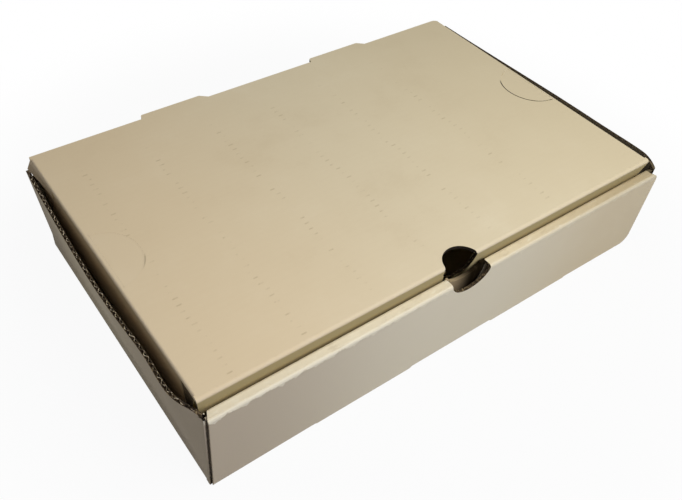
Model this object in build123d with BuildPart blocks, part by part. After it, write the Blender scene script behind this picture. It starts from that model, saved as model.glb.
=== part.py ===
from build123d import *
import math
import os

# A food box for six empanadas, folded from one sheet of thin corrugated board: a tray whose
# front wall rolls over double, and a lid that hinges on the rear wall and tucks in behind the
# front. Millimetres. X runs along the box, Y from front to back, Z up. The origin is the
# middle of the underside of the base.

# Board
board = 1.5            # thickness of the corrugated sheet
liner = 0.22           # thickness of each facing paper
flute_pitch = 3.335    # from one crest of the wavy middle layer to the next
flute_wide = 0.39      # half width of an open flute at its broad side, as a share of the pitch
flute_narrow = 0.09    # and at its narrow side
flute_depth = 1.6      # how far the open flutes are hollow at a cut edge
ply_gap = 0.15         # air between two layers that are folded flat against each other
fold_gap = 0.3         # air between pieces of board that pass each other

# Tray
tray_width = 233.0     # over the side walls, at the base
tray_depth = 143.0     # over the front and rear walls
lid_top = 51.5         # upper face of the closed lid, above the table
side_drop = 3.5        # the side walls stop this far below the lid's underside
front_drop_left = 8.3  # and the front wall this far, at its left and right ends
front_drop_right = 7.1
rear_dust_drop = 7.0
fold_radius_left = 1.6
fold_radius_right = 5.0     # the right-hand base fold is soft and rounded
bend_height = 8.0      # the side walls are straight up to here and bow outwards above
corner_dip = 3.5       # the side walls sweep down towards the front corners
corner_dip_length = 10.0
corner_radius = 1.2    # outer radius of the upright fold at the right-hand front corner
corner_bulge = 1.05    # the left-hand one bulges this far forward, beside the front wall's end
corner_bulge_round = 0.4
roll_radius = 1.3      # outer radius of the creases along the rolled-over front edge
roll_taper = 2.35      # the roll gets this much shorter at each end, from front to back
front_inset = 0.85     # each end of the front wall stops short of the side wall's face
front_dust_length = 56.0
rear_dust_length = 48.0
dust_corner = 8.0

# Bow of each side wall's top. The lid's flap bears on the left wall and pushes it out, while the
# right one leans in towards the rear. Each form gives the share of the way from the front to the
# rear, and the push outwards there as a share of the bow.
left_bow = 6.4
right_bow = 2.2
left_form = [(0, 0.06), (0.018, 0.27), (0.045, 0.64), (0.172, 0.89), (0.35, 1), (0.7, 0.92), (1, 0.58)]
right_form = [(0, -0.45), (0.04, 0.05), (0.2, 0.23), (0.35, 0.18), (0.65, -0.36), (1, -1)]

# Locks of the rolled-over front wall
lock_inner = 23.2      # from the middle of the tray to the near end of a lock slot
lock_length = 46.7
lock_side_gap = 1.3
sole_lift = 0.9        # the front fold arches up off the table between the corners
lip_run = 1.2          # the slanted ends of the lips below the front wall

# Lid
lid_width = 224.7
lid_depth = 140.0
lid_shift = -4.9       # the lid sits off to the left of the tray's middle
hinge_inset = 0.3      # the hinge crease lies this far inside the rear face
lid_corner_round = 3.5      # the worn rear right-hand corner
tuck_length = 34.0
tuck_lean = 14.5       # degrees that the tucked front flap leans into the box
tuck_taper_left = 5.0  # the left end of the tuck flap runs in by this much
tuck_taper_right = 1.0      # and the right end by this much
tuck_corner = 7.0
tuck_reach = 2.6       # the side flaps begin this far behind the front fold
front_fold_radius = 1.3
side_flap_length = 30.0
side_flap_lean = 4.0
side_flap_rear = 1.7   # the side flaps end this far before the hinge
side_flap_taper_front = 9.0
side_flap_taper_rear = 13.0
side_fold_radius = 0.9
side_reach = 2.4       # the side folds and flaps take up this much of the width

# Tabs on the lid's rear edge, cut out of the rear wall
tab_centre = 45.6      # from the middle of the lid
tab_left = 16.0        # from a tab's middle to the ends of its root
tab_right = 17.6
tab_left_run = 0.9     # its left end is cut steeply, its right end slants
tab_right_run = 3.5
tab_reach = 2.8
tab_round = 1.0
tab_gap = 0.9

# Thumb notches in the lid's front fold and in the front wall
lid_notch_radius = 8.1
lid_notch_offset = 0.5      # the notch's middle lies this far in front of the fold
lid_notch_drop = 5.2   # how far the notch carries on down the tucked flap
lid_notch_tilt = 1.2   # its lower edge runs this much lower on the left, higher on the right
lid_notch_flat = 0.7
lid_notch_round = 1.5
lid_notch_slant = 35.0      # degrees that the cut through the tucked flap slopes down inwards
front_notch_half = 10.0
front_notch_depth = 7.5
front_notch_x = 0.5
inner_notch_extra = 6.0     # the notch is this much deeper in the front wall's inner layer

# Half-moon vents in the lid, folded along its sides
vent_radius = 15.3
vent_kerf = 0.4
vent_y = 1.2
vent_sag = 2.0         # degrees that the vent flap has dropped by itself

# Worked out from the sizes above
half_width = tray_width / 2
half_depth = tray_depth / 2
lid_under = lid_top - board
side_height = lid_under - side_drop
front_height_left = lid_under - front_drop_left
front_height_right = lid_under - front_drop_right
front_height_middle = (front_height_left + front_height_right) / 2
rear_dust_height = lid_under - rear_dust_drop
rear_wall_top = lid_under - fold_gap
wall_end = half_depth - board - ply_gap
front_half = half_width - front_inset
roll_depth = 3 * board + 2 * ply_gap
inner_face_y = -half_depth + roll_depth
lid_left = lid_shift - lid_width / 2
lid_right = lid_shift + lid_width / 2
hinge_y = half_depth - hinge_inset
lid_front = hinge_y - lid_depth
above_base = board + fold_gap
plate_right = half_width - fold_radius_right
lock_middle = lock_inner + lock_length / 2
dip_start = corner_dip_length - wall_end
dip_radius = (corner_dip_length**2 + corner_dip**2) / (2 * corner_dip)
left_push = [(share, left_bow * out) for share, out in left_form]
right_push = [(share, right_bow * out) for share, out in right_form]


def wall_line(side, push, inset):
    """Points along the top of a side wall, seen from above, from the front to the rear."""
    return [(side * (half_width + out - inset), 2 * wall_end * share - wall_end) for share, out in push]


def wall_top(y):
    """Height of a side wall's top edge, which sweeps down near the front corner."""
    past = max(dip_start - y, 0)
    return side_height - dip_radius + math.sqrt(dip_radius**2 - min(past, corner_dip_length) ** 2)


def flute_cells(side, push):
    """Solids that hollow out the open flutes along the top edge of one side wall."""
    face_line = Edge.make_spline([Vector(x, y, side_height) for x, y in wall_line(side, push, 0)])
    cells = []
    count = int(2 * (2 * wall_end - flute_pitch) / flute_pitch) - 1
    for number in range(count):
        y = wall_end - flute_pitch * (1 + number / 2)
        at = face_line.param_at_point(face_line.intersect(Plane.XZ.offset(-y))[0].center())
        on_face = face_line.position_at(at)
        along = face_line.tangent_at(at)
        inwards = Vector(-side * along.Y, side * along.X, 0)
        outer, inner = (flute_wide, flute_narrow) if number % 2 else (flute_narrow, flute_wide)
        near = on_face + inwards * liner
        far = on_face + inwards * (board - liner)
        mouth = Face(
            Wire.make_polygon(
                [
                    near - along * outer * flute_pitch,
                    near + along * outer * flute_pitch,
                    far + along * inner * flute_pitch,
                    far - along * inner * flute_pitch,
                ]
            )
        )
        down = Vector(side * half_width - on_face.X, 0, bend_height - side_height)
        depth = side_height - wall_top(y) + flute_depth
        cells.append(Solid.extrude(mouth, down * (depth / -down.Z)))
    return cells


def flap_section(reach, length, lean):
    """Outline of a panel's edge that turns down into a leaning flap, from its outer corner.

    The panel lies along +X as far as reach, and the flap hangs down and leans towards +X.
    """
    slope = math.radians(lean)
    end = Vector(math.sin(slope), -math.cos(slope)) * length
    inner_end = end + Vector(math.cos(slope), math.sin(slope)) * board
    inner_corner = board * math.tan(math.radians(45 + lean / 2))
    outside = [(reach, 0), (0, 0), (end.X, end.Y)]
    inside = [(end.X, end.Y), (inner_end.X, inner_end.Y), (inner_corner, -board), (reach, -board), (reach, 0)]
    return outside, inside


# Tray
with BuildPart() as tray:
    # Front wall: up, over and down again on the inside, a little lower at its left end
    for end, height in ((-front_half, front_height_left), (front_half, front_height_right)):
        with BuildSketch(Plane.YZ.offset(end)):
            with BuildLine():
                FilletPolyline(
                    (-half_depth, 0),
                    (-half_depth, height),
                    (inner_face_y, height),
                    (inner_face_y, above_base),
                    radius=roll_radius,
                )
                Polyline(
                    (inner_face_y, above_base),
                    (inner_face_y - board, above_base),
                    (inner_face_y - board, height - board),
                    (-half_depth + board, height - board),
                    (-half_depth + board, 0),
                    (-half_depth, 0),
                )
            make_face()
    loft(ruled=True)

    # The roll is shorter than the front face, so that it fits between the side walls
    with BuildSketch():
        for side in (-1, 1):
            with BuildLine():
                Polyline(
                    (side * front_half, -half_depth),
                    (side * (front_half - roll_taper), inner_face_y),
                    (side * half_width, inner_face_y),
                    (side * half_width, -half_depth),
                    close=True,
                )
            make_face()
    extrude(amount=lid_top, mode=Mode.SUBTRACT)

    # Thumb notch, deeper in the inner layer than in the face
    for start, depth in ((half_depth, front_notch_depth), (wall_end, front_notch_depth + inner_notch_extra)):
        with BuildSketch(Plane.XZ.offset(start)):
            with Locations((front_notch_x, front_height_middle)):
                Ellipse(front_notch_half, depth)
        extrude(amount=inner_face_y + start, dir=(0, 1, 0), mode=Mode.SUBTRACT)

    # Lower edge of the face: arched up off the table, with a lip at each lock slot
    with BuildSketch(Plane.XZ.offset(half_depth)):
        with BuildLine():
            ThreePointArc((-plate_right, 0), (0, sole_lift), (plate_right, 0))
            Line((plate_right, 0), (-plate_right, 0))
        make_face()
        for middle in (-lock_middle, lock_middle):
            with BuildLine():
                Polyline(
                    (middle - lock_length / 2, 0),
                    (middle - lock_length / 2 - lip_run, sole_lift),
                    (middle + lock_length / 2 + lip_run, sole_lift),
                    (middle + lock_length / 2, 0),
                    close=True,
                )
            make_face(mode=Mode.SUBTRACT)
    extrude(amount=-board, mode=Mode.SUBTRACT)

    # The face's lower right-hand corner is rounded over with the soft fold beside it
    with BuildSketch(Plane.XZ.offset(half_depth)):
        with BuildLine():
            corner_arc = ThreePointArc(
                (front_half - fold_radius_right, 0),
                (front_half - fold_radius_right * (1 - math.sqrt(0.5)), fold_radius_right * (1 - math.sqrt(0.5))),
                (front_half, fold_radius_right),
            )
            Polyline(corner_arc @ 1, (front_half, 0), corner_arc @ 0)
        make_face()
    extrude(amount=-board, mode=Mode.SUBTRACT)

    # Base with the folded feet of both side walls
    with BuildSketch(Plane.XZ.offset(-wall_end)):
        with BuildLine():
            FilletPolyline((-half_width, bend_height), (-half_width, 0), (0, 0), radius=fold_radius_left)
            FilletPolyline((0, 0), (half_width, 0), (half_width, bend_height), radius=fold_radius_right)
            Line((half_width, bend_height), (half_width - board, bend_height))
            FilletPolyline(
                (half_width - board, bend_height),
                (half_width - board, board),
                (0, board),
                radius=fold_radius_right - board,
            )
            Polyline(
                (0, board),
                (-half_width + board, board),
                (-half_width + board, bend_height),
                (-half_width, bend_height),
            )
        make_face()
    extrude(amount=2 * wall_end)

    # Base out to the rear fold, and to the inside of the front wall
    with BuildSketch():
        with Locations(((plate_right - front_half) / 2, board / 2)):
            Rectangle(plate_right + front_half, tray_depth - board)
    extrude(amount=board)

    # Lock slots through the base, with the inside layer's lock tabs standing in them
    slot_rear = inner_face_y + fold_gap
    slot_front = -half_depth + board
    with BuildSketch():
        with Locations(*[(x, (slot_front + slot_rear) / 2) for x in (-lock_middle, lock_middle)]):
            Rectangle(lock_length, slot_rear - slot_front)
    extrude(amount=board, mode=Mode.SUBTRACT)
    with BuildSketch(Plane.XY.offset(fold_gap)):
        with Locations(*[(x, inner_face_y - board / 2) for x in (-lock_middle, lock_middle)]):
            Rectangle(lock_length - 2 * lock_side_gap, board)
    extrude(amount=board + fold_gap)

    # Side walls, straight at the foot and bowed along the top
    for side, push in ((-1, left_push), (1, right_push)):
        with BuildSketch(Plane.XY.offset(bend_height)):
            with Locations((side * (half_width - board / 2), 0)):
                Rectangle(board, 2 * wall_end)
        with BuildSketch(Plane.XY.offset(side_height)):
            with BuildLine():
                outside = Spline(*wall_line(side, push, 0))
                inside = Spline(*wall_line(side, push, board))
                Line(outside @ 0, inside @ 0)
                Line(outside @ 1, inside @ 1)
            make_face()
        loft(ruled=True)

    # The left-hand front fold bulges forward, so that only a slit is left beside the front wall
    bulge_inner = front_half + fold_gap
    bulge_front = -wall_end - corner_bulge
    for height, out in ((fold_gap, 0), (bend_height, 0), (side_height, left_push[0][1])):
        with BuildSketch(Plane.XY.offset(height)):
            with BuildLine():
                FilletPolyline(
                    (-half_width - out, -wall_end),
                    (-half_width - out, bulge_front),
                    (-bulge_inner, bulge_front),
                    radius=corner_bulge_round,
                )
                Polyline((-bulge_inner, bulge_front), (-bulge_inner, -wall_end), (-half_width - out, -wall_end))
            make_face()
    loft(ruled=True)

    # The walls sweep down towards the front corners
    with BuildSketch(Plane.YZ):
        with BuildLine():
            dip = TangentArc((dip_start, side_height), (-wall_end, side_height - corner_dip), tangent=(-1, 0))
            Polyline(
                dip @ 1,
                (-half_depth, side_height - corner_dip),
                (-half_depth, lid_top),
                (dip_start, lid_top),
                dip @ 0,
            )
        make_face()
    extrude(amount=tray_width, both=True, mode=Mode.SUBTRACT)

    # Open flutes along the top edges of the side walls
    for side, push in ((-1, left_push), (1, right_push)):
        add(flute_cells(side, push), mode=Mode.SUBTRACT)

    # Dust flaps that the side walls carry, folded in behind the front and the rear wall. The
    # front ones stand as high as the side wall at the corner, then step down under the roll.
    front_dust_top = front_height_left - board - fold_gap
    front_corner_top = side_height - corner_dip
    step_x = front_half - roll_taper * (board + ply_gap) / roll_depth + fold_gap
    root = half_width - fold_gap
    for side, push in ((-1, left_push), (1, right_push)):
        lean = (front_corner_top - bend_height) / (side_height - bend_height)
        with BuildSketch(Plane.XZ.offset(wall_end)):
            with BuildLine():
                Polyline(
                    (side * root, bend_height),
                    (side * (root + push[0][1] * lean), front_corner_top),
                    (side * step_x, front_corner_top),
                    (side * step_x, front_dust_top),
                    (side * (half_width - front_dust_length + dust_corner), front_dust_top),
                    (side * (half_width - front_dust_length), front_dust_top - dust_corner),
                    (side * (half_width - front_dust_length), above_base),
                    (side * (half_width - bend_height), above_base),
                    close=True,
                )
            make_face()
        extrude(amount=-board)
        lean = (rear_dust_height - bend_height) / (side_height - bend_height)
        with BuildSketch(Plane.XZ.offset(-wall_end)):
            with BuildLine():
                Polyline(
                    (side * root, bend_height),
                    (side * (root + push[-1][1] * lean), rear_dust_height),
                    (side * (half_width - rear_dust_length + dust_corner), rear_dust_height),
                    (side * (half_width - rear_dust_length), rear_dust_height - dust_corner),
                    (side * (half_width - rear_dust_length), above_base),
                    (side * (half_width - bend_height), above_base),
                    close=True,
                )
            make_face()
        extrude(amount=board)

    # The right-hand front fold is rounded, and hides behind the front wall's end
    with BuildSketch():
        with Locations((half_width, -wall_end)):
            Rectangle(2 * corner_radius, 2 * corner_radius)
        with Locations((half_width - corner_radius, -wall_end + corner_radius)):
            Circle(corner_radius, mode=Mode.SUBTRACT)
        with Locations((half_width, -wall_end - corner_radius)):
            Rectangle(4 * corner_radius, 2 * (corner_radius - ply_gap), mode=Mode.SUBTRACT)
    extrude(amount=side_height, mode=Mode.SUBTRACT)

    # Rear wall, drawn over to the left at the top by the lid, with a notch under each tab
    notch_floor = lid_top - math.hypot(tab_reach, board) - fold_gap
    with BuildSketch(Plane.XZ.offset(-half_depth)):
        with BuildLine():
            Polyline(
                (-front_half, 0),
                (lid_left + fold_gap, rear_wall_top),
                (lid_right - fold_gap, rear_wall_top),
                (plate_right, 0),
                close=True,
            )
        make_face()
        for centre in (lid_shift - tab_centre, lid_shift + tab_centre):
            with BuildLine():
                Polyline(
                    (centre - tab_left - tab_gap, lid_top),
                    (centre - tab_left - tab_gap + tab_left_run, notch_floor),
                    (centre + tab_right + tab_gap - tab_right_run, notch_floor),
                    (centre + tab_right + tab_gap, lid_top),
                    close=True,
                )
            make_face(mode=Mode.SUBTRACT)
    extrude(amount=board)

# Lid
with BuildPart() as lid:
    # Panel
    with BuildSketch(Plane.XY.offset(lid_under)):
        with Locations((lid_shift, (lid_front + tuck_reach + hinge_y) / 2)):
            Rectangle(lid_width - 2 * side_reach, hinge_y - lid_front - tuck_reach)
        with Locations((lid_shift, hinge_y - side_flap_rear / 2)):
            Rectangle(lid_width, side_flap_rear)
    extrude(amount=board)

    # Side folds and side flaps, cut to a taper at both ends
    side_start = lid_front + tuck_reach
    side_end = hinge_y - side_flap_rear
    for side, edge, start in ((-1, lid_left, side_end), (1, lid_right, side_start)):
        with BuildSketch(Plane(origin=(edge, start, lid_top), x_dir=(-side, 0, 0), z_dir=(0, side, 0))):
            outside, inside = flap_section(side_reach, side_flap_length, side_flap_lean)
            with BuildLine():
                FilletPolyline(*outside, radius=side_fold_radius)
                Polyline(*inside)
            make_face()
        extrude(amount=side_end - side_start)
        low = lid_top - side_flap_length
        with BuildSketch(Plane.YZ.offset(edge)):
            for end, taper in ((side_start, side_flap_taper_front), (side_end, -side_flap_taper_rear)):
                with BuildLine():
                    Polyline(
                        (end, lid_under),
                        (end + taper, low),
                        (end + taper, low - board),
                        (end - taper, low - board),
                        (end - taper, lid_under),
                        close=True,
                    )
                make_face()
        extrude(amount=-side * 2 * side_reach, mode=Mode.SUBTRACT)

    # Front fold and the flap that tucks in behind the front wall
    fold_corner = Plane(origin=(lid_left, lid_front, lid_top), x_dir=(0, 1, 0), z_dir=(1, 0, 0))
    with BuildSketch(fold_corner):
        outside, inside = flap_section(tuck_reach, tuck_length, tuck_lean)
        with BuildLine():
            FilletPolyline(*outside, radius=front_fold_radius)
            Polyline(*inside)
        make_face()
    extrude(amount=lid_width)

    # Its ends run in, to rounded corners
    slope = math.radians(tuck_lean)
    flap_face = Plane(
        origin=(lid_shift, lid_front, lid_top), x_dir=(1, 0, 0), z_dir=(0, -math.cos(slope), -math.sin(slope))
    )
    with BuildSketch(flap_face):
        for side, taper in ((-1, tuck_taper_left), (1, tuck_taper_right)):
            top_end = side * lid_width / 2
            low_end = top_end - side * taper
            with BuildLine():
                FilletPolyline(
                    (top_end, -board),
                    (low_end, -tuck_length),
                    (low_end - side * tuck_length, -tuck_length),
                    radius=tuck_corner,
                )
                Polyline(
                    (low_end - side * tuck_length, -tuck_length),
                    (low_end - side * tuck_length, -tuck_length - board),
                    (top_end + side * board, -tuck_length - board),
                    (top_end + side * board, -board),
                    (top_end, -board),
                )
            make_face()
    extrude(amount=-board, mode=Mode.SUBTRACT)

    # Tabs on the rear edge
    for centre in (lid_shift - tab_centre, lid_shift + tab_centre):
        with BuildSketch(Plane.XY.offset(lid_under)):
            with BuildLine():
                FilletPolyline(
                    (centre - tab_left, hinge_y),
                    (centre - tab_left + tab_left_run, hinge_y + tab_reach),
                    (centre + tab_right - tab_right_run, hinge_y + tab_reach),
                    (centre + tab_right, hinge_y),
                    radius=tab_round,
                )
                Line((centre + tab_right, hinge_y), (centre - tab_left, hinge_y))
            make_face()
        extrude(amount=board)

    # Worn corner at the rear right
    with BuildSketch(Plane.XY.offset(lid_top)):
        with BuildLine():
            worn = RadiusArc(
                (lid_right, hinge_y - lid_corner_round),
                (lid_right - lid_corner_round, hinge_y),
                -lid_corner_round,
            )
            Polyline(worn @ 1, (lid_right, hinge_y), worn @ 0)
        make_face()
    extrude(amount=-side_flap_length, mode=Mode.SUBTRACT)

    # Thumb notch: round in the panel, and a torn-straight edge lower down on the tucked flap
    with BuildSketch(Plane.XY.offset(lid_top)):
        with Locations((lid_shift, lid_front - lid_notch_offset)):
            Circle(lid_notch_radius)
    extrude(amount=-board, mode=Mode.SUBTRACT)
    with BuildSketch(flap_face):
        with BuildLine():
            FilletPolyline(
                (-lid_notch_radius, 0),
                (lid_notch_flat - lid_notch_radius, -lid_notch_drop - lid_notch_tilt),
                (lid_notch_radius - lid_notch_flat, -lid_notch_drop + lid_notch_tilt),
                (lid_notch_radius, 0),
                radius=lid_notch_round,
            )
            Line((lid_notch_radius, 0), (-lid_notch_radius, 0))
        make_face()
    slant = math.radians(lid_notch_slant)
    through = board / math.cos(slope + slant)
    extrude(amount=through, dir=(0, math.cos(slant), -math.sin(slant)), mode=Mode.SUBTRACT)

    # Half-moon holes of the vents, up to the side folds
    for side, edge in ((-1, lid_left), (1, lid_right)):
        fold = edge - side * board
        with BuildSketch(Plane.XY.offset(lid_under)):
            with Locations((edge, vent_y)):
                Circle(vent_radius)
            with Locations((fold + side * vent_radius, vent_y)):
                Rectangle(2 * vent_radius, 2 * vent_radius, mode=Mode.SUBTRACT)
        extrude(amount=board, mode=Mode.SUBTRACT)

# Half-moon flaps of the vents, dropped a little about the lower edge of their fold
with BuildPart() as vent_flap_left:
    fold = lid_left + board + fold_gap
    with BuildSketch(Plane(origin=(fold, vent_y, lid_under)).rotated((0, vent_sag, 0))):
        with Locations((lid_left - fold, 0)):
            Circle(vent_radius - vent_kerf)
        with Locations((-vent_radius, 0)):
            Rectangle(2 * vent_radius, 2 * vent_radius, mode=Mode.SUBTRACT)
    extrude(amount=board)

with BuildPart() as vent_flap_right:
    fold = lid_right - board - fold_gap
    with BuildSketch(Plane(origin=(fold, vent_y, lid_under)).rotated((0, -vent_sag, 0))):
        with Locations((lid_right - fold, 0)):
            Circle(vent_radius - vent_kerf)
        with Locations((vent_radius, 0)):
            Rectangle(2 * vent_radius, 2 * vent_radius, mode=Mode.SUBTRACT)
    extrude(amount=board)

tray.part.label = "tray"
lid.part.label = "lid"
vent_flap_left.part.label = "vent_flap_left"
vent_flap_right.part.label = "vent_flap_right"
os.makedirs("parts", exist_ok=True)
for piece in (tray, lid, vent_flap_left, vent_flap_right):
    export_step(piece.part, f"parts/{piece.part.label}.step")
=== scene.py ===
# %% [markdown]
# An empanada box of thin corrugated board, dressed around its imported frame. The frame brings the
# tray, the lid and the two half-moon vent flaps as exact solids. What is left for this lesson is
# how board looks: plain cream paper over a wavy middle layer, raw brown edges where it was cut,
# soft lines where it was creased, and a few marks of use.

import bmesh
import bpy
import math
from mathutils import Matrix, Vector
from mathutils.bvhtree import BVHTree


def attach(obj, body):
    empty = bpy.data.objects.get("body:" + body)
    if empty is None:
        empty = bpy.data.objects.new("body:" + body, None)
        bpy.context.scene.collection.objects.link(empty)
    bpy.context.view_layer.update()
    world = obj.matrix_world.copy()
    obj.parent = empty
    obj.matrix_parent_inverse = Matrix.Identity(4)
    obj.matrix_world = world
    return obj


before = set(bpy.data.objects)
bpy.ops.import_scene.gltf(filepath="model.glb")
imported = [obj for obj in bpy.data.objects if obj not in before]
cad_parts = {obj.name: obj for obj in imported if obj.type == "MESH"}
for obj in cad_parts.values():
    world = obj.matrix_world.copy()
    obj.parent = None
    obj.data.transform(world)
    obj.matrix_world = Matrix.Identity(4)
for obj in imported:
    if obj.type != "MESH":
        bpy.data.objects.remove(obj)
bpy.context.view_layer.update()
print("frame nodes:", sorted(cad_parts))

# %% [markdown]
# The camera stands where the photographer stood: to the left of the box, in front of it and above.
# A rotation is three directions, so it is written as the camera's right, up and forward vectors,
# which were worked out from the box's own corners. The focal length is in pixels of a picture 682
# wide, and the small shift keeps the picture's frame.

# %% Camera
PICTURE = (682, 500)
FOCAL_PIXELS = 751.76
PRINCIPAL = (307.41, 251.75)
CAMERA_AT = Vector((-0.17119, -0.18696, 0.25198))
RIGHT = Vector((0.81738, -0.57382, 0.05112))
UP = Vector((0.38412, 0.60898, 0.69398))
FORWARD = Vector((0.42935, 0.54761, -0.71818))

camera_data = bpy.data.cameras.new("camera")
camera = bpy.data.objects.new("camera", camera_data)
bpy.context.collection.objects.link(camera)
turn = Matrix((RIGHT, UP, -FORWARD)).transposed().to_4x4()
camera.matrix_world = Matrix.Translation(CAMERA_AT) @ turn
camera_data.sensor_width = 36.0
camera_data.lens = FOCAL_PIXELS / PICTURE[0] * camera_data.sensor_width
camera_data.shift_x = (PICTURE[0] / 2 - PRINCIPAL[0]) / PICTURE[0]
camera_data.shift_y = (PRINCIPAL[1] - PICTURE[1] / 2) / PICTURE[0]
camera_data.clip_start = 0.01
bpy.context.scene.camera = camera
print("lens", round(camera_data.lens, 2), "mm")

# %% [markdown]
# Shader maths reads best as sums and products. `Wire` wraps a socket so that `1 - mask * 2` adds
# the Math nodes by itself, and `Look.node` is the one place where a node is made: its settings are
# written first, then its sockets get a value or a link. Everything below is built from these two.

# %% Shader helpers
SEEING_RAYS = ("Is Camera Ray", "Is Glossy Ray", "Is Transmission Ray")


class Wire:
    """A node's output with arithmetic. Every operator adds one Math node."""

    def __init__(self, look, socket):
        self.look = look
        self.socket = socket

    def math(self, operation, *others):
        sockets = dict(enumerate((self, *others)))
        return self.look.node("ShaderNodeMath", {"operation": operation}, sockets)

    def __add__(self, other):
        return self.math("ADD", other)

    def __mul__(self, other):
        return self.math("MULTIPLY", other)

    def __sub__(self, other):
        return self.math("SUBTRACT", other)

    def __rsub__(self, other):
        return self.math("MULTIPLY", -1.0) + other

    def __truediv__(self, other):
        return self.math("DIVIDE", other)

    def __abs__(self):
        return self.math("ABSOLUTE")

    __radd__ = __add__
    __rmul__ = __mul__

    def rise(self, low, high):
        """0 below low, 1 above high, and smooth between. With low above high it falls instead."""
        if low > high:
            return 1.0 - self.rise(high, low)
        settings = {"interpolation_type": "SMOOTHSTEP"}
        sockets = {"Value": self, "From Min": low, "From Max": high}
        return self.look.node("ShaderNodeMapRange", settings, sockets)

    def wave(self, length):
        """A sine from 0 to 1 that repeats after each length."""
        return (self * (2 * math.pi / length)).math("SINE") * 0.5 + 0.5


class Look:
    """A node tree being built: of a material, or of the world."""

    def __init__(self, tree):
        self.tree = tree

    def node(self, kind, settings=None, sockets=None, out=0):
        made = self.tree.nodes.new(kind)
        for key, value in (settings or {}).items():
            setattr(made, key, value)
        for key, value in (sockets or {}).items():
            if isinstance(value, Wire):
                self.tree.links.new(value.socket, made.inputs[key])
            else:
                made.inputs[key].default_value = value
        return Wire(self, made.outputs[out])

    def split(self, vector):
        """The three parts of a vector."""
        first = self.node("ShaderNodeSeparateXYZ", {}, {0: vector})
        return [Wire(self, output) for output in first.socket.node.outputs]

    def place(self):
        """Where on the object a point is, in metres, as one vector and as x, y and z."""
        vector = self.node("ShaderNodeTexCoord", out="Object")
        return [vector, *self.split(vector)]

    def facing(self):
        """The way the surface faces, as x, y and z of the object itself."""
        return self.split(self.node("ShaderNodeTexCoord", out="Normal"))

    def seen(self):
        """1 where a camera's, a mirrored or a passed-through ray looks, and 0 for all other light."""
        first, *others = [self.node("ShaderNodeLightPath", out=ray) for ray in SEEING_RAYS]
        return first.math("MAXIMUM", others[0]).math("MAXIMUM", others[1])

    def stretch(self, vector, x, y, z):
        """The same place with its three directions scaled, to draw a pattern out."""
        sockets = {0: vector, 1: (x, y, z)}
        return self.node("ShaderNodeVectorMath", {"operation": "MULTIPLY"}, sockets)

    def noise(self, vector, scale, detail=2.0, roughness=0.5):
        sockets = {"Vector": vector, "Scale": scale, "Detail": detail, "Roughness": roughness}
        return self.node("ShaderNodeTexNoise", {}, sockets)

    def mix(self, share, first, second, blend="MIX"):
        settings = {"data_type": "RGBA", "blend_type": blend}
        return self.node("ShaderNodeMix", settings, {0: share, 6: first, 7: second}, out=2)


def finish(name):
    """A new material: its look, and its own Principled shader's sockets to write on."""
    material = bpy.data.materials.new(name)
    material.use_nodes = True
    return material, Look(material.node_tree), material.node_tree.nodes["Principled BSDF"].inputs


def feed(look, socket, wire):
    """Links a wire to a socket of a node that was there already."""
    look.tree.links.new(wire.socket, socket)


def emboss(look, shader, height, strength, distance):
    """Presses a height into the surface, as a bump that only the light shows."""
    sockets = {"Height": height, "Strength": strength, "Distance": distance}
    feed(look, shader["Normal"], look.node("ShaderNodeBump", {}, sockets))


def grey(level):
    return (level, level, level, 1.0)


print("helpers ready")

# %% [markdown]
# The box's own sizes, in metres, that the finishes and the small pieces need: the flutes' pitch,
# and where the panels, folds, notches and vents are. The deep notch in the tucked flap is a rounded
# U that leans to the right, so it has a skew and a power, which says how square its bottom is.

# %% Sizes of the box
FLUTE = 0.003335
BOARD = 0.0015
LINER = 0.00022
LID_TOP = 0.0515
LID_X = -0.0049
LID_HALF = 0.11235
LID_FRONT = -0.0688
LID_REAR = 0.0712
CREASE = 0.0423
FRONT = -0.0715
ROLL = 0.0048
WALL_END = 0.06985
WALL_TOP = 0.0465
VENT_RADIUS = 0.0153
VENT_Y = 0.0012
WORN_ROUND = 0.0042
FRONT_END = 0.11565
FRONT_TOP = 0.0429
FACE_NOTCH_X = 0.0005
FACE_NOTCH_HALF = 0.0103
NOTCH_HALF = 0.0081
NOTCH_DEEP = 0.0124
NOTCH_SKEW = 0.25
NOTCH_POWER = 2.3
LEAN = math.radians(14.5)
SLANT = math.radians(35.0)
print("flutes across the lid:", round((LID_REAR - LID_FRONT) / FLUTE))

# %% [markdown]
# The paper. Unprinted kraft with a pale cream top layer is never one colour. Pulp settles in soft
# clouds a few centimetres wide, handling leaves fainter blotches, and short fibres show up close.
# One function makes that paper for every finish of the board, and a second one adds what is the
# lid's own. The place is scaled before the fibres' noise, so that they are drawn out along the box.
# The other colours are those of folds, shaded walls and cut edges.

# %% Paper
CREAM = (0.640, 0.545, 0.380, 1.0)
CREAM_DARK = (0.605, 0.508, 0.348, 1.0)
CREAM_LIGHT = (0.672, 0.582, 0.418, 1.0)
STRETCHED = (0.760, 0.700, 0.545, 1.0)
WARM = (0.690, 0.520, 0.310, 1.0)
PAINTED_COOL_LIGHT = (0.690, 0.640, 0.505, 1.0)
WALL_SHADE = (0.450, 0.375, 0.275, 1.0)
RAW = (0.060, 0.040, 0.020, 1.0)
RAW_LIGHT = (0.330, 0.250, 0.140, 1.0)
SHADE = (0.012, 0.008, 0.004, 1.0)
TUCKED_SHADE = (0.420, 0.335, 0.135, 1.0)
SIDE_FLAP_SHADE = (0.300, 0.215, 0.115, 1.0)
RIGHT_WALL_SHADE = (0.060, 0.045, 0.022, 1.0)
LAYER_BROWN = (0.340, 0.260, 0.155, 1.0)
FIBRE_DARK_AND_SHADE = (0.080, 0.056, 0.028, 1.0)
FIBRE_LIGHT = (0.700, 0.600, 0.420, 1.0)
SHEEN = 0.2


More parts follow.
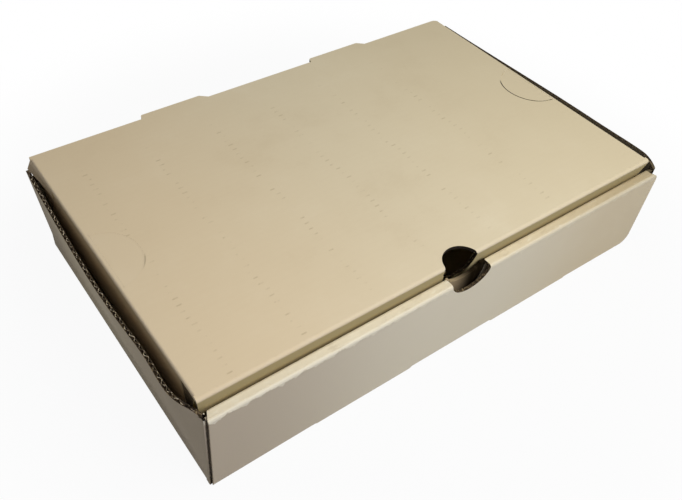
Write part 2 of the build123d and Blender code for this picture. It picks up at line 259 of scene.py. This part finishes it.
def paper(look, place):
    """Colour of the plain paper, and its fine relief from 0 to 1."""
    clouds = look.noise(place, 22.0, 2.0)
    blotches = look.noise(place, 75.0, 3.0, 0.6)
    fibres = look.noise(look.stretch(place, 0.25, 1.0, 1.0), 2200.0, 2.0, 0.7)
    tone = clouds * 0.55 + blotches * 0.30 + fibres * 0.15
    colour = look.mix(tone.rise(0.30, 0.50), CREAM_DARK, CREAM)
    colour = look.mix(tone.rise(0.50, 0.72), colour, CREAM_LIGHT)
    return colour, fibres


def lid_paper(look, place, x):
    """The lid's paper is warmer towards its left end and duller towards its right."""
    colour, fibres = paper(look, place)
    colour = look.mix(x.rise(0.010, 0.110) * 0.6, colour, CREAM_DARK)
    return look.mix(x.rise(0.010, -0.110) * 0.45, colour, WARM), fibres


print("paper: base", CREAM[:3])

# %% [markdown]
# The lid's finish. Seen across the flutes, the top paper sinks a hair between the crests: lines
# one flute apart that only raking light shows, so they are a weak bump. Six rows of short ticks
# run from front to back, where a roller of the board machine pressed on the crests. The front
# fold is stretched and a little paler, and every cut shows the raw brown inside. Painted shade
# darkens the tucked flap's strip, the left side flap, the hollows in the cut edges and the vents'
# cuts. The thumb notch runs on down the tucked flap as a skewed, rounded U. The solid is notched
# less deep, so the finish is clear there.

# %% Lid board
TICK_ROWS = (0.055, 0.022, -0.008, -0.038, -0.069, -0.098)

lid_board, look, shader = finish("lid_board")
place, x, y, z = look.place()
nx, ny, nz = look.facing()
colour, fibres = lid_paper(look, place, x)

on_top = nz.rise(0.7, 0.95)
ripple = (y - LID_REAR).wave(FLUTE)
row = 0.0
for offset in TICK_ROWS:
    wander = (look.noise(look.stretch(place, 0.0, 1.0, 0.0), 40.0) - 0.5) * 0.006
    row = abs(x - (LID_X + offset) - wander).rise(0.0014, 0.0007) + row
strength = look.noise(place, 260.0, 2.0).rise(0.42, 0.66)
tick = row * ripple.rise(0.86, 0.97) * strength * on_top * y.rise(0.058, 0.050)
colour = look.mix(tick * 0.36, colour, RAW_LIGHT)

fold = abs(y - LID_FRONT - 0.0004).rise(0.0012, 0.0002) * z.rise(0.0497, 0.0507)
crumple = look.noise(look.stretch(place, 0.35, 1.0, 1.0), 420.0, 3.0, 0.6)
colour = look.mix(fold * crumple.rise(0.35, 0.65) * 0.45, colour, CREAM_LIGHT)
# painted shade: the strip of the tucked flap that shows is darkened and tinted yellow, as painted bounce
# light from the rolled strip
tucked_flap_shade = ny.rise(-0.6, -0.9) * z.rise(0.0508, 0.0492)
colour = look.mix(tucked_flap_shade * 0.8, colour, TUCKED_SHADE)

dx = abs(x - LID_X)
near_front = y.rise(LID_FRONT + 0.0138, LID_FRONT + 0.0108)
panel_cut = abs(nz).rise(0.5, 0.2) * z.rise(0.04985, 0.04995) * dx.rise(0.1114, 0.1112)
panel_cut = panel_cut * (1.0 - ny.rise(-0.6, -0.9) * dx.rise(0.0083, 0.0086))
rear_cut = ny.rise(0.5, 0.8) * y.rise(0.0695, 0.0699)
flap_cut = nz.rise(0.3, 0.6) * z.rise(0.0499, 0.0496) * dx.rise(0.0092, 0.0088) * near_front
flap_ends = abs(nx).rise(0.6, 0.9) * y.rise(-0.0570, -0.0585) * z.rise(0.0500, 0.0496)
cut = (panel_cut + rear_cut + flap_cut + flap_ends).math("MINIMUM", 1.0)
# painted shade: the lid's left side flap, which hangs in shadow, is darkened brown
side_flap_shade = nx.rise(-0.5, -0.8) * z.rise(0.0506, 0.0485)
colour = look.mix(side_flap_shade * 0.6, colour, SIDE_FLAP_SHADE)

# painted shadow: a dark line along the right vent's cut, front half, and a faint one along the left
# vent, where the kerf's gap lies
for side, start, end, depth in ((1, 0.0105, -0.0155, 1.0), (-1, -0.0035, -0.0115, 0.35)):
    away = x - (LID_X + side * LID_HALF)
    round_vent = (away.math("POWER", 2.0) + (y - VENT_Y).math("POWER", 2.0)).math("SQRT")
    vent_gap_shadow = abs(round_vent - VENT_RADIUS - 0.00025).rise(0.00034, 0.00016)
    shown = (y - VENT_Y).rise(start, start - 0.003) * (y - VENT_Y).rise(end, end + 0.004)
    colour = look.mix(vent_gap_shadow * shown * on_top * depth, colour, SHADE)

# the deep part of the notch, seen along the slanted way in which the knife went through
run = math.tan(SLANT)
down = ((LID_TOP - z) - (y - LID_FRONT) * run) / (math.cos(LEAN) + math.sin(LEAN) * run)
across = abs(x - LID_X - down * NOTCH_SKEW) / NOTCH_HALF
deep = (down / NOTCH_DEEP).math("MAXIMUM", 0.0)
edge = across.math("POWER", NOTCH_POWER) + deep.math("POWER", NOTCH_POWER)
hole = edge.rise(1.004, 0.996) * down.rise(0.0001, 0.0003) * z.rise(0.0502, 0.0501)
feed(look, shader["Alpha"], 1.0 - hole)
middle = abs(z - (LID_TOP - BOARD / 2)).rise(BOARD / 2, BOARD / 2 - LINER)
frayed = look.noise(place, 1400.0, 2.0, 0.6)
raw = look.mix(frayed.rise(0.56, 0.68) * 0.5, RAW, RAW_LIGHT)
# painted shade: random hollows of the wavy middle layer in the cut faces, and the notch's cut faces near
# the front, are painted nearly black
hollow_shade = middle * frayed.rise(0.64, 0.54) * 0.95 + panel_cut * near_front * 0.8
raw = look.mix(hollow_shade.math("MINIMUM", 1.0), raw, SHADE)
colour = look.mix(cut, colour, raw)
feed(look, shader["Base Color"], colour)

relief = ripple * 0.35 * on_top - tick * 1.2 + fibres * 0.20 + crumple * fold * 1.6 + frayed * cut
emboss(look, shader, relief, 0.35, 0.00010)
feed(look, shader["Roughness"], 0.80 + cut * 0.15 - fold * 0.12 + fibres * 0.04)
shader["Specular IOR Level"].default_value = SHEEN
print("lid board:", len(look.tree.nodes), "nodes")

# %% [markdown]
# The tray's finish. Its front, base and rear have the flutes lying down, the two side walls have
# them upright, so the ripple turns with the panel. The rolled-over front edge was creased twice
# and is crumpled: pale stretched spots and small dents all along it. The rims of the side walls
# are cut across the flutes, and the paper inside is brown. The front wall's right-hand corner is
# worn round: the finish is clear there, because the solid still has its sharp corner.

# %% Tray board
tray_board, look, shader = finish("tray_board")
place, x, y, z = look.place()
nx, ny, nz = look.facing()
colour, fibres = paper(look, place)

upright = abs(nx).rise(0.5, 0.8)
lying = z.wave(FLUTE) * abs(ny).rise(0.5, 0.8) + y.wave(FLUTE) * abs(nz).rise(0.5, 0.8)
ripple = y.wave(FLUTE) * upright + lying

# the rolled edge
at_face = y.rise(FRONT + 0.0015, FRONT + 0.0009)
roll_top = nz.rise(0.3, 0.8) * y.rise(-0.0660, -0.0668) * z.rise(0.0395, 0.0405)
front_line = abs(z - CREASE + 0.0009).rise(0.0022, 0.0004) * at_face
crumple = look.noise(look.stretch(place, 0.40, 1.0, 1.0), 330.0, 3.0, 0.62)
creased = (roll_top + front_line).math("MINIMUM", 1.0)
spots = crumple.rise(0.56, 0.70) * creased
dents = crumple.rise(0.44, 0.34) * creased
wander = (look.noise(look.stretch(place, 1.0, 0.0, 0.0), 200.0, 3.0, 0.6) - 0.5) * 0.0080
stretched = (z + wander).rise(CREASE - 0.0024, CREASE - 0.0018) * at_face * ny.rise(-0.3, -0.6)
colour = look.mix(roll_top * x.rise(0.040, -0.060) * 0.55, colour, STRETCHED)
colour = look.mix(spots * 0.7, colour, STRETCHED)
colour = look.mix(dents * 0.20, colour, RAW_LIGHT)
# painted shade: the rolled strip's right end, in the lid's shadow, is darkened
colour = look.mix(roll_top * x.rise(0.020, 0.113) * 0.70, colour, RAW_LIGHT)

# painted cool light: the front wall is painted lighter and greyer over its left and middle; painted
# shade: it is darker towards its left end, and the left wall is darker towards its front and rear ends
front_face = ny.rise(-0.6, -0.9) * y.rise(-0.0690, -0.0700) * z.rise(0.0418, 0.0405)
colour = look.mix(front_face * x.rise(0.095, 0.010) * 0.75, colour, PAINTED_COOL_LIGHT)
colour = look.mix(front_face * x.rise(-0.010, -0.118) * 0.85, colour, WALL_SHADE)
colour = look.mix(stretched * (0.35 + x.rise(0.040, -0.060) * 0.5), colour, STRETCHED)
left_face = nx.rise(-0.6, -0.9) * x.rise(-0.110, -0.114)
colour = look.mix(left_face * y.rise(0.020, -0.068) * 0.80, colour, WALL_SHADE)
colour = look.mix(left_face * y.rise(0.030, 0.070) * 0.75, colour, WALL_SHADE)

# rims and cuts
sideways = abs(nx).rise(0.6, 0.9)
in_roll = y.rise(FRONT + ROLL + 0.0003, FRONT + ROLL)
outer = abs(x).rise(0.1128, 0.1134) * z.rise(0.0398, 0.0404)
rim = outer * nz.rise(0.5, 0.7) * abs(y).rise(0.0712, 0.0702)
rim = rim * (1.0 - y.rise(-0.0662, -0.0666) * abs(x).rise(0.1157, 0.1153))
# painted shade: the left wall's front fold is painted with the dark raw colours through the cut mask, as
# the fold's shadow
fold_front_shade = x.rise(-0.1167, -0.1160) * y.rise(-0.0697, -0.0700) * x.rise(0.0, -0.001)
fold_front_shade = fold_front_shade * abs(x).rise(0.1150, 0.1156)
# painted shade: the right wall's inner face near its top, behind the lid, is darkened
right_inner_shade = x.rise(0.1116, 0.1122) * z.rise(0.0340, 0.0400) * nx.rise(0.6, 0.4) * y.rise(-0.0699, -0.0697)
pocket = outer * abs(ny).rise(0.55, 0.65) * abs(y).rise(0.0696, 0.0692)
roll_ends = sideways * in_roll * abs(x).rise(0.1118, 0.1124)
roll_ends = roll_ends * abs(x).rise(0.1160, 0.1157)
rear_ends = sideways * y.rise(0.0697, 0.0700)
beside = abs(x - FACE_NOTCH_X).rise(FACE_NOTCH_HALF + 0.0003, FACE_NOTCH_HALF)
notch = abs(ny).rise(0.5, 0.2) * in_roll * beside
notch = notch * (z.rise(0.0409, 0.0403) + abs(nx).rise(0.6, 0.8)).math("MINIMUM", 1.0)
notch = notch * z.rise(0.020, 0.022)
cut = (rim + pocket + roll_ends + rear_ends + notch + fold_front_shade).math("MINIMUM", 1.0)
frayed = look.noise(place, 1500.0, 2.0, 0.6)
raw = look.mix(frayed.rise(0.55, 0.66) * 0.6, RAW, RAW_LIGHT)
raw = look.mix(frayed.rise(0.52, 0.44) * 0.8, raw, SHADE)
colour = look.mix(right_inner_shade * 0.9, colour, RIGHT_WALL_SHADE)
colour = look.mix(cut, colour, raw)
feed(look, shader["Base Color"], colour)

# the front wall's right-hand corner is worn round
across = (x - (FRONT_END - WORN_ROUND)).math("MAXIMUM", 0.0)
upwards = (z - (FRONT_TOP - WORN_ROUND)).math("MAXIMUM", 0.0)
reach = (across.math("POWER", 2.0) + upwards.math("POWER", 2.0)).math("SQRT")
worn = reach.rise(WORN_ROUND - 0.00001, WORN_ROUND + 0.00001) * y.rise(-0.0688, -0.0689)
feed(look, shader["Alpha"], 1.0 - worn)

relief = ripple * 0.16 + fibres * 0.20 + crumple * (roll_top + front_line) * 2.4 + frayed * cut
emboss(look, shader, relief, 0.4, 0.00012)
feed(look, shader["Roughness"], 0.80 + cut * 0.15 + fibres * 0.04)
shader["Specular IOR Level"].default_value = SHEEN
print("tray board:", len(look.tree.nodes), "nodes")

# %% [markdown]
# The half-moon vents are punched through the lid and hang on their fold. Their face is the same
# paper, and their curved edge is a fresh cut, dark brown. A node of the frame takes its finish
# through its material slot, and its mesh stays as it came.

# %% Vent board
vent_board, look, shader = finish("vent_board")
place, x, y, z = look.place()
nx, ny, nz = look.facing()
colour, fibres = lid_paper(look, place, x)
cut = abs(nz).rise(0.6, 0.3)
frayed = look.noise(place, 1500.0, 2.0, 0.6)
raw = look.mix(frayed, SHADE, RAW)
colour = look.mix(cut, colour, raw)
feed(look, shader["Base Color"], colour)
relief = (y - LID_REAR).wave(FLUTE) * 0.35 + fibres * 0.2 + frayed * cut
emboss(look, shader, relief, 0.35, 0.00010)
feed(look, shader["Roughness"], 0.80 + cut * 0.15 + fibres * 0.04)
shader["Specular IOR Level"].default_value = SHEEN

for name, material in (
    ("tray", tray_board),
    ("lid", lid_board),
    ("vent_flap_left", vent_board),
    ("vent_flap_right", vent_board),
):
    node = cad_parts[name]
    node.data.materials.clear()
    node.data.materials.append(material)
print("board on", len(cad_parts), "nodes")

# %% [markdown]
# Thin strips. Everything that this lesson adds to the solids is a narrow band of board: it runs
# along pairs of points and is pushed out to a thickness by one extrusion.

# %% Strips


def band(name, pairs, push, body, material):
    """A strip whose face runs between pairs of points, pushed out by a vector."""
    mesh = bpy.data.meshes.new(name)
    grid = bmesh.new()
    rails = [[grid.verts.new(point) for point in pair] for pair in pairs]
    for (a, b), (c, d) in zip(rails, rails[1:]):
        grid.faces.new((a, b, d, c))
    pushed = bmesh.ops.extrude_face_region(grid, geom=grid.faces[:], use_keep_orig=True)
    moved = [item for item in pushed["geom"] if isinstance(item, bmesh.types.BMVert)]
    bmesh.ops.translate(grid, verts=moved, vec=push)
    bmesh.ops.recalc_face_normals(grid, faces=grid.faces[:])
    grid.to_mesh(mesh)
    grid.free()
    made = bpy.data.objects.new(name, mesh)
    bpy.context.collection.objects.link(made)
    mesh.materials.append(material)
    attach(made, body)
    return made


def spread(low, high, count):
    """Even steps from low to high, both included."""
    return [low + (high - low) * step / count for step in range(count + 1)]


print("strips ready")

# %% [markdown]
# The wavy middle layer. Where the side walls were cut across their flutes, its edge stands a little
# proud of the two facings and catches the light in small loops, one to a flute. It is one thin
# ribbon along each wall. A ray cast at the wall from outside finds its face, bent as it is, and the
# wave then swings between the two facings with the flutes' pitch.

# %% Wavy layer on the rims
RIBBON = 0.00015
PROUD = 0.00010
DIP_LENGTH = 0.010
DIP = 0.0035
dip_radius = (DIP_LENGTH**2 + DIP**2) / (2 * DIP)

fibre_edge, look, shader = finish("fibre_edge")
place, x, y, z = look.place()
frayed = look.noise(place, 1300.0, 2.0, 0.6)
# painted light: fibres on the left wall's rim are painted light at random where they catch the light;
# painted shade: the right rim, behind the lid, stays dark
lit = frayed.rise(0.50, 0.60) * x.rise(0.110, -0.110)
feed(look, shader["Base Color"], look.mix(lit, FIBRE_DARK_AND_SHADE, FIBRE_LIGHT))
shader["Roughness"].default_value = 0.9


def rim_height(y):
    """Height of a side wall's rim, which sweeps down near the front corner."""
    past = min(max(DIP_LENGTH - WALL_END - y, 0.0), DIP_LENGTH)
    return WALL_TOP - dip_radius + math.sqrt(dip_radius**2 - past**2)


tray_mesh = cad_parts["tray"].data
corners = [vertex.co for vertex in tray_mesh.vertices]
walls = BVHTree.FromPolygons(corners, [face.vertices for face in tray_mesh.polygons])
for side, name in ((-1, "left"), (1, "right")):
    pairs = []
    for y in spread(0.0008 - WALL_END, WALL_END - 0.0008, 500):
        top = rim_height(y)
        face, normal, _, _ = walls.ray_cast(Vector((side * 0.2, y, top - 0.0008)), Vector((-side, 0, 0)))
        inwards = -Vector((normal.x, normal.y, 0)).normalized()
        swing = 0.5 - 0.5 * math.cos(2 * math.pi * (WALL_END - FLUTE - y) / FLUTE)
        depth = LINER + swing * (BOARD - 2 * LINER - RIBBON)
        start = Vector((face.x, y, top + PROUD)) + inwards * depth
        pairs.append((start, start + inwards * RIBBON))
    ribbon = band(f"wavy_layer_{name}", pairs, (0, 0, -0.0006), "tray", fibre_edge)
    print(ribbon.name, len(ribbon.data.polygons), "faces")

# %% [markdown]
# The knife leaves fibres in its kerf, so the half-moons show only where the paper has let go: the
# right one over the front half of its curve, the left one hardly at all. Thin skins of paper close
# the rest of the kerf and the folds' gap, just under the lid's face. The left half-moon has sprung
# back level with the lid, so it also gets a thin upper layer, which swings with it.

# %% Kerf skins
SKIN_IN = 0.01494
SKIN_OUT = 0.01533
FOLD_GAP = 0.0003
SKIN_HALF = 0.0152
SKIN_SINK = 0.00003
VENT_FACE = 0.01492
LEVEL_END = math.radians(83.0)
kerf_paper, look, shader = finish("kerf_paper")
place, x, y, z = look.place()
colour, fibres = lid_paper(look, place, x)
feed(look, shader["Base Color"], look.mix(0.03, colour, RAW_LIGHT))
shader["Roughness"].default_value = 0.85
skin_top = LID_TOP - SKIN_SINK

for side, name, start, end in ((-1, "left", -84.0, 84.0), (1, "right", 6.0, 84.0)):
    edge = LID_X + side * LID_HALF
    pairs = []
    for angle in spread(math.radians(start), math.radians(end), 48):
        way = Vector((-side * math.cos(angle), math.sin(angle), 0))
        middle = Vector((edge, VENT_Y, skin_top))
        pairs.append((middle + way * SKIN_IN, middle + way * SKIN_OUT))
    band(f"kerf_skin_{name}", pairs, (0, 0, -0.0006), "lid", kerf_paper)
    fold = edge - side * BOARD
    ends = (VENT_Y - SKIN_HALF, VENT_Y + SKIN_HALF)
    pairs = [((fold, y, skin_top), (fold - side * FOLD_GAP, y, skin_top)) for y in ends]
    band(f"fold_skin_{name}", pairs, (0, 0, -0.0002), "lid", kerf_paper)

centre = LID_X - LID_HALF
level = []
for angle in spread(-LEVEL_END, LEVEL_END, 48):
    y = VENT_Y + VENT_FACE * math.sin(angle)
    inner = centre + VENT_FACE * math.cos(angle)
    level.append(((centre + BOARD + FOLD_GAP, y, skin_top), (inner, y, skin_top)))
band("vent_level", level, (0, 0, -0.0003), "vent_left", kerf_paper)
print("kerf skins on both vents")

# %% [markdown]
# Four small pieces complete the corners and the front. The inner layer of the rolled wall is cut
# less deep than its face, the deep notch in the tucked flap has a cut edge that slants inwards, the
# foot of the left front fold is closed, and the left side flap flares out over the wall's rear end.

# %% Small pieces
INNER_FACE = -0.0682
INNER_NOTCH_X = -0.0003
INNER_NOTCH_HALF = 0.0082
INNER_NOTCH_DEPTH = 0.0031
INNER_LAYER_DEPTH = 0.0138
FOOT_LEFT = -0.11640
FOOT_RIGHT = -0.11495
FOOT_FRONT = -0.07085
FOOT_REAR = -0.0684
FOOT_HEIGHT = 0.00155
FLAP_FACE = -0.11722
FLARE = 0.0020
FLARE_FRONT = 0.0480
FLARE_REAR = 0.0706
raw_edge_shade, look, shader = finish("raw_edge_shade")
place, x, y, z = look.place()
frayed = look.noise(place, 1300.0, 2.0, 0.6)
# painted shade: the notch's slanted cut edge lies in the dark hole and is painted nearly black, with
# light raw specks
raw = look.mix(frayed.rise(0.58, 0.68) * 0.6, SHADE, RAW_LIGHT)
feed(look, shader["Base Color"], raw)
shader["Roughness"].default_value = 0.95
shader["Specular IOR Level"].default_value = 0.0

inner_face, look, shader = finish("inner_face")
place, x, y, z = look.place()
ribs = look.noise(look.stretch(place, 1.0, 0.0, 0.15), 900.0, 2.0, 0.5)
# painted shade: the inner layer seen through the notch is lit brown on its left and goes nearly black
# towards its right
shade = x.rise(-0.0085, 0.0045)
colour = look.mix(shade, LAYER_BROWN, SHADE)
colour = look.mix(ribs.rise(0.55, 0.75) * 0.25 * (1.0 - shade * 0.8), colour, RAW_LIGHT)
feed(look, shader["Base Color"], colour)
shader["Roughness"].default_value = 0.95
shader["Specular IOR Level"].default_value = 0.0

pairs = []
for x in spread(FACE_NOTCH_X - 0.0102, FACE_NOTCH_X + 0.0102, 60):
    shallow = max(1 - ((x - INNER_NOTCH_X) / INNER_NOTCH_HALF) ** 2, 0.0)
    full = max(1 - ((x - FACE_NOTCH_X) / FACE_NOTCH_HALF) ** 2, 0.0)
    top = CREASE - 0.00003 - INNER_NOTCH_DEPTH * math.sqrt(shallow)
    low = CREASE - 0.0004 - INNER_LAYER_DEPTH * math.sqrt(full)
    pairs.append(((x, INNER_FACE, top), (x, INNER_FACE, low)))
band("inner_layer", pairs, (0, BOARD - 0.00004, 0), "tray", inner_face)

pairs = []
for turn in spread(0.02, math.pi - 0.02, 60):
    wide = math.copysign(abs(math.cos(turn)) ** (2 / NOTCH_POWER), math.cos(turn)) * NOTCH_HALF
    down = NOTCH_DEEP * math.sin(turn) ** (2 / NOTCH_POWER)
    outer_y = LID_FRONT + down * math.sin(LEAN)
    outer = Vector((LID_X + wide + NOTCH_SKEW * down, outer_y, LID_TOP - down * math.cos(LEAN)))
    through = BOARD / math.cos(LEAN + SLANT)
    if outer.z < LID_TOP - BOARD:
        pairs.append((outer, outer + Vector((0, math.cos(SLANT), -math.sin(SLANT))) * through))
band("notch_edge", pairs, (0, 0, -0.00005), "lid", raw_edge_shade)

foot = [((FOOT_LEFT, y, 0.0), (FOOT_RIGHT, y, 0.0)) for y in (FOOT_FRONT, FOOT_REAR)]
band("fold_foot", foot, (0, 0, FOOT_HEIGHT), "tray", tray_board)

flap_end = []
for y in spread(FLARE_FRONT, FLARE_REAR, 12):
    flare = FLARE * ((y - FLARE_FRONT) / (FLARE_REAR - FLARE_FRONT)) ** 1.2
    flap_end.append(((FLAP_FACE, y, LID_TOP - 0.0010), (FLAP_FACE - flare, y, WALL_TOP + 0.00005)))
band("flap_end", flap_end, (BOARD / 2, 0, 0), "lid", lid_board)
print("small pieces ready")

# %% [markdown]
# A plain pale floor, a hair below the box so that the two never share a plane. Where the camera
# looks straight at it, it is almost plain white and keeps only the box's soft shadow. To every
# other ray it is a pale matt surface that sends light back up on the walls.

# %% Floor
floor_mesh = bpy.data.meshes.new("floor")
grid = bmesh.new()
bmesh.ops.create_grid(grid, x_segments=1, y_segments=1, size=3.0)
grid.to_mesh(floor_mesh)
grid.free()
floor = bpy.data.objects.new("floor", floor_mesh)
floor.location.z = -0.0001
bpy.context.collection.objects.link(floor)
ground, look, shader = finish("floor")
seen = look.seen()
place, x, y, z = look.place()
far = look.node("ShaderNodeVectorMath", {"operation": "LENGTH"}, {0: place}, out="Value")
white = look.node("ShaderNodeEmission", {}, {"Color": (1, 1, 1, 1), "Strength": 1.0})
matt = Wire(look, look.tree.nodes["Principled BSDF"].outputs[0])
shader["Base Color"].default_value = grey(0.5)
shader["Roughness"].default_value = 0.9
share = seen * (0.94 + far.rise(0.14, 0.24) * 0.06)
surface = look.node("ShaderNodeMixShader", {}, {0: share, 1: matt, 2: white})
feed(look, look.tree.nodes["Material Output"].inputs[0], surface)
floor_mesh.materials.append(ground)
print("floor ready")

# %% [markdown]
# Soft studio light. An even pale sky lights every side, and two small lamps hang in front and
# above, a cool one in the middle and a warm one to its right: the lid is brightest along its front
# edge and falls off to the rear, and the left wall stays in plain shade.

# %% Light
world = bpy.data.worlds.new("studio")
bpy.context.scene.world = world
world.use_nodes = True
look = Look(world.node_tree)
sky = look.node("ShaderNodeBackground", {}, {"Color": (0.90, 0.93, 1.0, 1.0), "Strength": 0.245})
white = look.node("ShaderNodeBackground", {}, {"Color": (1, 1, 1, 1), "Strength": 1.0})
seen = look.seen()
surface = look.node("ShaderNodeMixShader", {}, {0: seen, 1: sky, 2: white})
feed(look, look.tree.nodes["World Output"].inputs[0], surface)


def lamp(name, place, towards, size, watts, colour):
    """A square area lamp that faces a point."""
    data = bpy.data.lights.new(name, "AREA")
    data.size = size
    data.energy = watts
    data.color = colour
    made = bpy.data.objects.new(name, data)
    made.location = place
    made.rotation_euler = (Vector(towards) - Vector(place)).to_track_quat("-Z", "Y").to_euler()
    bpy.context.collection.objects.link(made)
    return made


lamp("front", (0.0, -0.30, 0.45), (0.0, -0.05, 0.05), 0.25, 1.8, (0.80, 0.79, 1.0))
lamp("right", (0.12, -0.20, 0.45), (0.05, -0.06, 0.03), 0.25, 0.75, (0.98, 1.0, 0.50))
print("lamps ready")

# %% [markdown]
# The picture is shown without a film curve, so that a colour given here is the colour that is seen.

# %% View
bpy.context.scene.view_settings.view_transform = "Standard"
